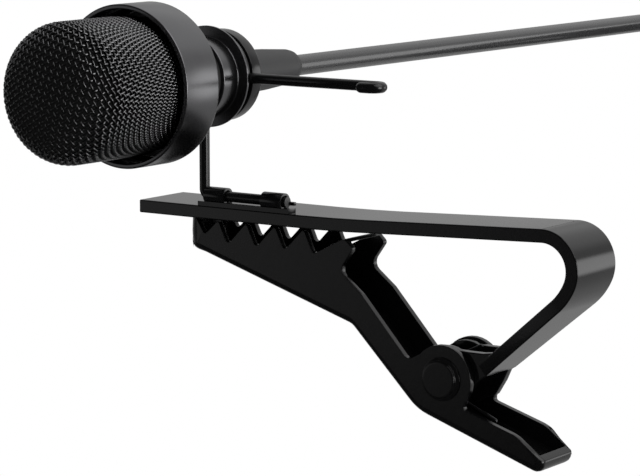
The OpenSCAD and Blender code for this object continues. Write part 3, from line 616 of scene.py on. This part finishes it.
def cable_route():
    """Straight out of the sleeve, round to the coil, through its turns and down to the plug."""
    lead_end = COIL_Y - TURN_R
    points = [(MIC_X, LEAD_START + (lead_end - LEAD_START) * i / LEAD_STEPS, MIC_Z) for i in range(LEAD_STEPS + 1)]
    for i in range(1, BEND_STEPS + 1):
        a = math.radians(90 * i / BEND_STEPS)
        points.append((MIC_X + TURN_R * (1 - math.cos(a)), lead_end + TURN_R * math.sin(a), MIC_Z))
    points += [(COIL_X - 2 * CABLE_R - RUN_UP, COIL_Y, MIC_Z), (COIL_X - 2 * CABLE_R, COIL_Y, MIC_Z)]
    steps = round(COIL_TURNS * TURN_STEPS)
    points += [coil_point(i * COIL_TURNS / steps) for i in range(steps + 1)]
    points.append(tuple(PLUG_TOP))
    return points


# Each plug piece: its finish, its slot and its half section (radius, distance past the cable's end, edge rounding)
PLUG_SECTIONS = {
    "plug_boot": ("rubber", "boot_rubber", [
        (0, 0.0, 0), (1.175, 0.0, 0.2), (1.325, 0.3, 0.3), (1.75, 4.0, 4), (2.3, 8.4, 0.4), (2.3, 9.0, 0.1),
        (0, 9.0, 0)]),
    "plug_handle": ("anodised", "handle_metal", [
        (0, 9.0, 0), (3.1, 9.0, 0.15), (3.6, 9.5, 0.3), (3.6, 22.5, 0.3), (3.0, 23.2, 0.2), (3.0, 24.0, 0.1),
        (0, 24.0, 0)]),
    "plug_sleeve": ("contact", "contact_metal", [
        (0.83, 24.0, 0), (1.75, 24.0, 0.05), (1.75, 32.0, 0.05), (0.83, 32.0, 0)]),
    "plug_ring": ("contact", "contact_metal", [
        (0.83, 32.4, 0), (1.75, 32.4, 0.05), (1.75, 34.0, 0.05), (0.83, 34.0, 0)]),
    "plug_tip": ("contact", "contact_metal", [
        (0, 24.0, 0), (0.8, 24.0, 0), (0.8, 34.4, 0), (1.75, 34.4, 0.05), (1.75, 34.9, 0.3), (1.26, 35.6, 0.4),
        (1.7, 36.4, 0.7), (1.49, 37.1, 0.5), (0.79, 37.85, 0.3), (0.35, 38.0, 0.1), (0, 38.0, 0)]),
}


class LAVALIER_OT_cable(bpy.types.Operator):
    """The cable from the sleeve to its far end, the strap round its coil, and its plug"""

    bl_idname = "lavalier.cable"
    bl_label = "Cable and plug"

    def execute(self, context):
        look = context.scene.lavalier
        route = cable_route()
        curve = bpy.data.curves.new("cable", "CURVE")
        curve.dimensions = "3D"
        curve.bevel_depth = look.cable_diameter / 2
        curve.bevel_resolution = CABLE_ROUNDNESS
        curve.use_fill_caps = True
        spline = curve.splines.new("POLY")
        spline.points.add(len(route) - 1)
        for point, place_at in zip(spline.points, route):
            point.co = (*(Vector(place_at) * MM), 1)
        spline.use_smooth = True
        cable = new_object("cable", curve)
        place(cable, "holder", "jacket", ("cable_lead", "cable_coil"))

        for node, (finish, slot, section) in PLUG_SECTIONS.items():
            piece = lathe(node + "_turned", section, PLUG_TOP, (0, 0, -1), PLUG_SIDES)
            place(piece, "holder", finish, (node,))
        tie = softened_copy("cable_strap", "cable_tie", STRAP_EDGE)
        smooth(tie)
        place(tie, "holder", "strap", ("cable_tie",))
        paint(CAD["plug_insulators"], "insulator")
        return {"FINISHED"}


# ---------------------------------------------------------------- microphone head

# Each turned piece of the head: its node, its finish, its slot and its half section
HEAD_SECTIONS = {
    "collar": ("collar_ring", "anodised", "collar_metal", COLLAR_SECTION),
    "cone": ("capsule_housing", "anodised", "housing_metal", HOUSING_SECTION),
    "seal": ("neck_seal", "seal", "seal_rubber", SEAL_SECTION),
    "barrel": ("neck_barrel", "anodised", "barrel_metal", BARREL_SECTION),
    "cap": ("rear_cap", "lacquer", "cap_metal", CAP_SECTION),
    "sleeve": ("strain_relief", "rubber", "relief_rubber", RELIEF_SECTION),
}
INNER_FINISHES = {"capsule": "capsule", "capsule_gasket": "seal", "circuit_board": "board",
                  "crimp_ferrule": "brass", "inner_wires": "core", "cable_inner": "jacket"}
HEAD_SIDES, FOAM_EDGE = 160, 0.1


class LAVALIER_OT_head(bpy.types.Operator):
    """Collar, cone, seal, neck, rear cap and cable sleeve, the foam and the inner parts"""

    bl_idname = "lavalier.head"
    bl_label = "Microphone head"

    def execute(self, context):
        origin = (MIC_X, MIC_FRONT, MIC_Z)
        for name, (node, finish, slot, section) in HEAD_SECTIONS.items():
            piece = lathe(name, section, origin, (0, 1, 0), HEAD_SIDES)
            place(piece, "microphone", finish, (node,))
        lining = softened_copy("foam_lining", "foam_liner", FOAM_EDGE)
        smooth(lining)
        place(lining, "microphone", "foam", ("foam_liner",))
        for node, finish in INNER_FINISHES.items():
            paint(CAD[node], finish)
        return {"FINISHED"}


# The dome: how far it stands out of the collar, and the outer radii of its wall, its shoulder and its crown
DOME_OUT, DOME_R, SHOULDER_R, CROWN_R = 9.02, 5.15, 2.5, 12.0
# The mesh: half its thickness, how far its foot is in the collar, its wires' rise in wire radii, and their sides
MESH_HALF, MESH_FOOT, MESH_RISE, MESH_SIDES = 0.154, 1.2, 0.92, 5


def weave_tree():
    """Geometry nodes that lay one family of the mesh's wires over the drawn dome."""
    tree = bpy.data.node_groups.new("Woven dome", "GeometryNodeTree")
    tree.is_modifier = True
    start, end = group_sockets(tree, {
        "Geometry": ("NodeSocketGeometry", None),
        "Pitch": ("NodeSocketFloat", 0.00038, 0.0001, 0.01),
        "Wire radius": ("NodeSocketFloat", 0.00007, 0.00001, 0.001),
        "Steps per pitch": ("NodeSocketInt", 4, 1, 8),
        "Turn": ("NodeSocketFloat", 0.0, -7, 7),
        "Side": ("NodeSocketFloat", 1.0, -1, 1),
        "Crown radius": ("NodeSocketFloat", 0.012, 0.001, 1),
        "Shoulder radius": ("NodeSocketFloat", 0.0025, 0.0001, 1),
        "Dome radius": ("NodeSocketFloat", 0.005, 0.001, 1),
        "Front": ("NodeSocketFloat", -0.02, -1, 1),
        "Foot": ("NodeSocketFloat", -0.012, -1, 1),
        "Axis X": ("NodeSocketFloat", 0.0, -1, 1),
        "Axis Z": ("NodeSocketFloat", 0.0, -1, 1),
        "Material": ("NodeSocketMaterial", None),
    }, {"Geometry": "NodeSocketGeometry"})
    given = start.outputs

    def calc(operation, a, b=0.0, c=0.0):
        return maths(tree, operation, a, b, c)

    # Arc lengths of crown and shoulder, and the whole reach to the foot
    slope = calc("ARCSINE", calc("DIVIDE", calc("SUBTRACT", given["Dome radius"], given["Shoulder radius"]),
                                 calc("SUBTRACT", given["Crown radius"], given["Shoulder radius"])))
    crown = calc("MULTIPLY", slope, given["Crown radius"])
    shoulder = calc("MULTIPLY", calc("SUBTRACT", math.pi / 2, slope), given["Shoulder radius"])
    depth = calc("ADD", calc("MULTIPLY", calc("SUBTRACT", 1.0, calc("COSINE", slope)), given["Crown radius"]),
                 calc("MULTIPLY", calc("COSINE", slope), given["Shoulder radius"]))
    wall = calc("SUBTRACT", calc("SUBTRACT", given["Foot"], given["Front"]), depth)
    reach = calc("ADD", calc("ADD", crown, shoulder), wall)
    rows = calc("CEIL", calc("DIVIDE", reach, given["Pitch"]))
    step = calc("DIVIDE", given["Pitch"], given["Steps per pitch"])

    row_points = add(tree, "GeometryNodeMeshLine", {
        "Count": calc("MULTIPLY_ADD", rows, 2.0, 1.0),
        "Start Location": add(tree, "ShaderNodeCombineXYZ", {
            "Y": calc("MULTIPLY", calc("MULTIPLY", rows, given["Pitch"]), -1.0)}).outputs[0],
        "Offset": add(tree, "ShaderNodeCombineXYZ", {"Y": given["Pitch"]}).outputs[0]})
    one_wire = add(tree, "GeometryNodeMeshLine", {
        "Count": calc("MULTIPLY_ADD", calc("MULTIPLY", rows, given["Steps per pitch"]), 2.0, 1.0),
        "Start Location": add(tree, "ShaderNodeCombineXYZ", {
            "X": calc("MULTIPLY", calc("MULTIPLY", rows, given["Pitch"]), -1.0)}).outputs[0],
        "Offset": add(tree, "ShaderNodeCombineXYZ", {"X": step}).outputs[0]})
    laid = add(tree, "GeometryNodeInstanceOnPoints", {"Points": row_points.outputs[0], "Instance": one_wire.outputs[0]})
    wires = add(tree, "GeometryNodeRealizeInstances", {"Geometry": laid.outputs[0]})

    flat = add(tree, "ShaderNodeSeparateXYZ", {0: add(tree, "GeometryNodeInputPosition").outputs[0]})
    along, across = flat.outputs["X"], flat.outputs["Y"]
    # Over one crossing and under the next
    phase = calc("MULTIPLY", calc("ADD", calc("DIVIDE", along, given["Pitch"]),
                                  calc("ROUND", calc("DIVIDE", across, given["Pitch"]))), math.pi)
    lift = calc("MULTIPLY", calc("MULTIPLY", calc("COSINE", phase), given["Side"]),
                calc("MULTIPLY", given["Wire radius"], MESH_RISE))
    # The second family runs at a right angle to the first
    warp = calc("GREATER_THAN", given["Side"], 0.0)
    u = add(tree, "ShaderNodeMix", {"Factor": warp, 2: across, 3: along}).outputs[0]
    v = add(tree, "ShaderNodeMix", {"Factor": warp, 2: along, 3: across}).outputs[0]
    distance = calc("SQRT", calc("ADD", calc("MULTIPLY", u, u), calc("MULTIPLY", v, v)))
    bearing = calc("ADD", calc("ARCTAN2", v, u), given["Turn"])

    on_crown = calc("DIVIDE", calc("MINIMUM", distance, crown), given["Crown radius"])
    past = calc("MAXIMUM", calc("SUBTRACT", distance, crown), 0.0)
    on_shoulder = calc("DIVIDE", calc("MINIMUM", past, shoulder), given["Shoulder radius"])
    on_wall = calc("MAXIMUM", calc("SUBTRACT", past, shoulder), 0.0)
    lean = calc("ADD", on_crown, on_shoulder)
    both = calc("ADD", slope, on_shoulder)
    radius = calc("ADD", calc("MULTIPLY", given["Crown radius"], calc("SINE", on_crown)),
                  calc("MULTIPLY", given["Shoulder radius"], calc("SUBTRACT", calc("SINE", both), calc("SINE", slope))))
    behind = calc("ADD", calc("ADD", given["Front"], on_wall), calc(
        "ADD", calc("MULTIPLY", given["Crown radius"], calc("SUBTRACT", 1.0, calc("COSINE", on_crown))),
        calc("MULTIPLY", given["Shoulder radius"], calc("SUBTRACT", calc("COSINE", slope), calc("COSINE", both)))))
    radius = calc("ADD", radius, calc("MULTIPLY", lift, calc("SINE", lean)))
    behind = calc("SUBTRACT", behind, calc("MULTIPLY", lift, calc("COSINE", lean)))
    target = add(tree, "ShaderNodeCombineXYZ", {
        "X": calc("MULTIPLY_ADD", radius, calc("COSINE", bearing), given["Axis X"]),
        "Y": behind,
        "Z": calc("MULTIPLY_ADD", radius, calc("SINE", bearing), given["Axis Z"])}).outputs[0]
    outside = add(tree, "GeometryNodeCaptureAttribute")
    outside.capture_items.new("FLOAT", "Distance")
    tree.links.new(wires.outputs[0], outside.inputs["Geometry"])
    tree.links.new(distance, outside.inputs[1])
    shaped = add(tree, "GeometryNodeSetPosition", {"Geometry": outside.outputs["Geometry"], "Position": target})
    kept = add(tree, "GeometryNodeDeleteGeometry", {
        "Geometry": shaped.outputs[0], "Selection": calc("GREATER_THAN", outside.outputs[1], reach)})
    line = add(tree, "GeometryNodeMeshToCurve", {"Mesh": kept.outputs[0]})
    ring = add(tree, "GeometryNodeCurvePrimitiveCircle", {"Resolution": MESH_SIDES, "Radius": given["Wire radius"]})
    body = add(tree, "GeometryNodeCurveToMesh", {
        "Curve": line.outputs[0], "Profile Curve": ring.outputs[0], "Fill Caps": True})
    soft = add(tree, "GeometryNodeSetShadeSmooth", {"Geometry": body.outputs[0]})
    real = add(tree, "GeometryNodeRealizeInstances", {"Geometry": soft.outputs[0]})
    painted = add(tree, "GeometryNodeSetMaterial", {"Geometry": real.outputs[0], "Material": given["Material"]})
    tree.links.new(painted.outputs[0], end.inputs["Geometry"])
    return tree


def set_input(modifier, name, value):
    """Sets a geometry modifier's input by its socket's identifier."""
    for item in modifier.node_group.interface.items_tree:
        if item.item_type == "SOCKET" and item.in_out == "INPUT" and item.name == name:
            modifier[item.identifier] = value
            return
    raise KeyError(name)


class LAVALIER_OT_mesh(bpy.types.Operator):
    """The woven mesh dome, as two families of crossing wires"""

    bl_idname = "lavalier.mesh"
    bl_label = "Mesh dome"

    def execute(self, context):
        look = context.scene.lavalier
        tree = weave_tree()
        for name, side in (("mesh_warp", 1.0), ("mesh_weft", -1.0)):
            piece = new_object(name, bpy.data.meshes.new(name))
            made = piece.modifiers.new("Weave", "NODES")
            made.node_group = tree
            for key, value in {
                    "Pitch": look.mesh_pitch, "Wire radius": look.mesh_wire / 2, "Steps per pitch": look.mesh_steps,
                    "Turn": look.mesh_turn, "Side": side, "Crown radius": (CROWN_R - MESH_HALF) * MM,
                    "Shoulder radius": (SHOULDER_R - MESH_HALF) * MM, "Dome radius": (DOME_R - MESH_HALF) * MM,
                    "Front": (MIC_FRONT - DOME_OUT + MESH_HALF) * MM, "Foot": (MIC_FRONT + MESH_FOOT) * MM,
                    "Axis X": MIC_X * MM, "Axis Z": MIC_Z * MM, "Material": finish_of("mesh")}.items():
                set_input(made, key, value)
            as_mesh(piece)
            place(piece, "microphone", "mesh", ("grille_dome",))
        return {"FINISHED"}


# ---------------------------------------------------------------- wire holder

WIRE_R, RING_R, ELBOW_R, LEG_OFFSET = 0.4, 3.1, 0.45, 0.76
TAIL_LEN, FOLD_R, FOLD_LEN = 15.1, 0.65, 0.6
HINGE_END = 1.74
# Steps along the hinge run, its elbow, the ring's first elbow, the ring, its last elbow, the tail, the fold and its end
RUN_STEPS, FOOT_STEPS, NECK_STEPS, RING_STEPS, TURN_OFF_STEPS, TAIL_STEPS, FOLD_STEPS, END_STEPS = (
    8, 10, 8, 56, 10, 10, 16, 4)
WIRE_SIDES, BRACKET_EDGE = 20, 0.06


def wire_path():
    """The wire's centre line: hinge run, leg, ring round the neck, tail and fold."""
    leg_x = MIC_X - LEG_OFFSET
    foot = (leg_x + ELBOW_R, HINGE_Z + ELBOW_R)
    reach = RING_R + ELBOW_R
    leg = (leg_x - ELBOW_R, MIC_Z - math.sqrt(reach ** 2 - (LEG_OFFSET + ELBOW_R) ** 2))
    ring_start = math.degrees(math.atan2(leg[1] - MIC_Z, leg[0] - MIC_X))
    tail = (MIC_X + math.sqrt(reach ** 2 - ELBOW_R ** 2), MIC_Z + ELBOW_R)
    ring_stop = math.degrees(math.atan2(ELBOW_R, tail[0] - MIC_X))
    flat = [Vector((HINGE_END - (HINGE_END - foot[0]) * i / RUN_STEPS, 0, HINGE_Z)) for i in range(RUN_STEPS + 1)]
    flat += arc_points(foot, ELBOW_R, 270, 180, FOOT_STEPS)
    flat += arc_points(leg, ELBOW_R, 0, ring_start + 180, NECK_STEPS)
    flat += arc_points((MIC_X, MIC_Z), RING_R, 360 + ring_start, ring_stop, RING_STEPS)
    flat += arc_points(tail, ELBOW_R, ring_stop + 180, 270, TURN_OFF_STEPS)
    fold_x = MIC_X + TAIL_LEN
    flat += [Vector((tail[0] + (fold_x - tail[0]) * i / TAIL_STEPS, 0, MIC_Z)) for i in range(1, TAIL_STEPS + 1)]
    points = [Vector((p.x, HINGE_Y, p.z)) for p in flat]
    for i in range(1, FOLD_STEPS + 1):
        a = math.pi / 2 - math.pi * i / FOLD_STEPS
        points.append(Vector((fold_x + FOLD_R * math.cos(a), HINGE_Y - FOLD_R + FOLD_R * math.sin(a), MIC_Z)))
    points += [Vector((fold_x - FOLD_LEN * i / END_STEPS, HINGE_Y - 2 * FOLD_R, MIC_Z))
               for i in range(1, END_STEPS + 1)]
    return points


class LAVALIER_OT_wire(bpy.types.Operator):
    """The bent spring wire and the bracket that it turns in"""

    bl_idname = "lavalier.wire"
    bl_label = "Wire holder"

    def execute(self, context):
        wire = tube("holder_wire", wire_path(), WIRE_R, WIRE_SIDES, (False, True))
        place(wire, "holder", "wire", ("wire_holder",))
        bracket = softened_copy("bracket", "wire_bracket", BRACKET_EDGE)
        place(bracket, "clip_body", "lacquer", ("wire_bracket",))
        return {"FINISHED"}


# ---------------------------------------------------------------- clip

# The trough's nose: its front edge, the rounding of its corners, and the cuts that follow the rounding
NOSE_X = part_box("toothed_jaw")[0][0] / MM
NOSE_R, NOSE_CUTS = 1.0, 5
# How far it stands forward, how much further at the bottom, and from which height over which depth that begins
NOSE_LEAD, NOSE_LOW_LEAD = 0.48, 0.22
NOSE_TOP, NOSE_DEPTH = -0.6, 1.3
JAW_EDGE = 0.05


def round_nose(bm):
    """Rounds the trough's front corners and moves its front forward, most of all at the bottom."""
    for i in range(1, NOSE_CUTS + 1):
        at = NOSE_X + NOSE_R * (1 - math.cos(math.pi / 2 * i / NOSE_CUTS))
        bmesh.ops.bisect_plane(bm, geom=bm.verts[:] + bm.edges[:] + bm.faces[:], dist=MERGE,
                               plane_co=(at * MM, 0, 0), plane_no=(1, 0, 0))
    for v in bm.verts:
        part = min(max((NOSE_X + NOSE_R - v.co.x / MM) / NOSE_R, 0.0), 1.0)
        inwards = NOSE_R * (1 - math.sqrt(1 - part * part))
        low = min(max((NOSE_TOP - v.co.z / MM) / NOSE_DEPTH, 0.0), 1.0)
        v.co.y -= math.copysign(inwards, v.co.y) * MM
        v.co.x -= part * (NOSE_LEAD + NOSE_LOW_LEAD * low) * MM


class LAVALIER_OT_clip(bpy.types.Operator):
    """The spring strip with its ears, and the toothed jaw"""

    bl_idname = "lavalier.clip"
    bl_label = "Clip"

    def execute(self, context):
        width = context.scene.lavalier.edge_radius / MM
        strip = softened_copy("strip", "spring_strip", width)
        place(strip, "clip_body", "lacquer", ("spring_strip",))
        jaw = softened_copy("jaw_trough", "toothed_jaw", JAW_EDGE, reshape=round_nose, clamp=False)
        place(jaw, "jaw", "jaw_lacquer", ("toothed_jaw",))
        return {"FINISHED"}


# The rivet's near head, as (radius, distance along the pivot, edge rounding), and its shaft
PIN_HEAD = [
    (1.66, -2.4, 0.02), (1.54, -2.48, 0.05), (1.42, -2.54, 0.08), (1.36, -2.6, 0.06), (1.36, -2.8, 0.12),
    (1.2, -2.8, 0), (0, -2.8, 0)]
PIN_SHAFT = [(0.8, 2.4, 0), (0.8, -2.4, 0)]
PIN_SIDES = 96
# The torsion spring: turns, coil and wire radius, half its length, and its legs' headings in degrees and lengths
SPRING_TURNS, SPRING_R, SPRING_WIRE_R, SPRING_HALF = 4.5, 1.25, 0.2, 0.95
UPPER_HEADING, LOWER_HEADING, UPPER_LEG, LOWER_LEG = 25.3, -18.5, 2.2, 4.4
SPRING_STEPS, SPRING_SIDES = 160, 10
# The lower leg starts this far from the coil's end, and is this share of its thickness
LEG_GAP, LEG_SHARE = 0.02, 0.98


class LAVALIER_OT_pivot(bpy.types.Operator):
    """The rivet's heads and shaft, and the torsion spring round it"""

    bl_idname = "lavalier.pivot"
    bl_label = "Pivot and spring"

    def execute(self, context):
        far_head = [(r, -s, e) for r, s, e in reversed(PIN_HEAD)]
        pin = evenly_shaded(lathe("rivet", PIN_HEAD + far_head + PIN_SHAFT, PIVOT, (0, 1, 0), PIN_SIDES))
        place(pin, "clip_body", "jaw_lacquer", ("pivot_pin",))

        start = math.radians(UPPER_HEADING + 90)
        total = SPRING_TURNS * 2 * math.pi + math.radians(LOWER_HEADING - UPPER_HEADING)
        coil = []
        for i in range(SPRING_STEPS + 1):
            t = i / SPRING_STEPS
            a = start + total * t
            coil.append(Vector((PIVOT.x + SPRING_R * math.cos(a), (SPRING_HALF - SPRING_WIRE_R) * (1 - 2 * t),
                                PIVOT.z + SPRING_R * math.sin(a))))
        leg_way = Vector((math.cos(math.radians(UPPER_HEADING)), 0, math.sin(math.radians(UPPER_HEADING))))
        spring = tube("torsion_coil", [coil[0] + leg_way * UPPER_LEG] + coil, SPRING_WIRE_R, SPRING_SIDES, (True, True))
        place(spring, "clip_body", "spring", ("torsion_spring",))
        last, way = coil[-1], (coil[-1] - coil[-2]).normalized()
        leg_end = last + Vector((way.x, 0, way.z)).normalized() * LOWER_LEG
        lower = tube("torsion_leg", [last + way * LEG_GAP, leg_end], SPRING_WIRE_R * LEG_SHARE, SPRING_SIDES,
                     (False, True))
        place(lower, "jaw", "spring", ())
        return {"FINISHED"}


# ---------------------------------------------------------------- panel and start

OPERATORS = (LAVALIER_OT_stage, LAVALIER_OT_cable, LAVALIER_OT_head, LAVALIER_OT_mesh, LAVALIER_OT_wire,
             LAVALIER_OT_clip, LAVALIER_OT_pivot)


class LAVALIER_PT_panel(bpy.types.Panel):
    """Settings and pieces of the microphone"""

    bl_idname = "LAVALIER_PT_panel"
    bl_label = "Lavalier Microphone"
    bl_space_type = "VIEW_3D"
    bl_region_type = "UI"
    bl_category = "Microphone"

    def draw(self, context):
        look = context.scene.lavalier
        for name in look.bl_rna.properties.keys():
            if name not in {"rna_type", "name"}:
                self.layout.prop(look, name)
        for operator in OPERATORS:
            self.layout.operator(operator.bl_idname)


CLASSES = (LavalierSettings, *OPERATORS, LAVALIER_PT_panel)


def register():
    """Adds the settings, the operators and the panel."""
    for cls in CLASSES:
        bpy.utils.register_class(cls)
    bpy.types.Scene.lavalier = PointerProperty(type=LavalierSettings)


def unregister():
    """Takes them out again."""
    del bpy.types.Scene.lavalier
    for cls in reversed(CLASSES):
        bpy.utils.unregister_class(cls)


def main():
    """Makes every piece."""
    register()
    for operator in OPERATORS:
        group, name = operator.bl_idname.split(".")
        getattr(getattr(bpy.ops, group), name)()
    bpy.context.view_layer.update()


if __name__ == "__main__":
    main()
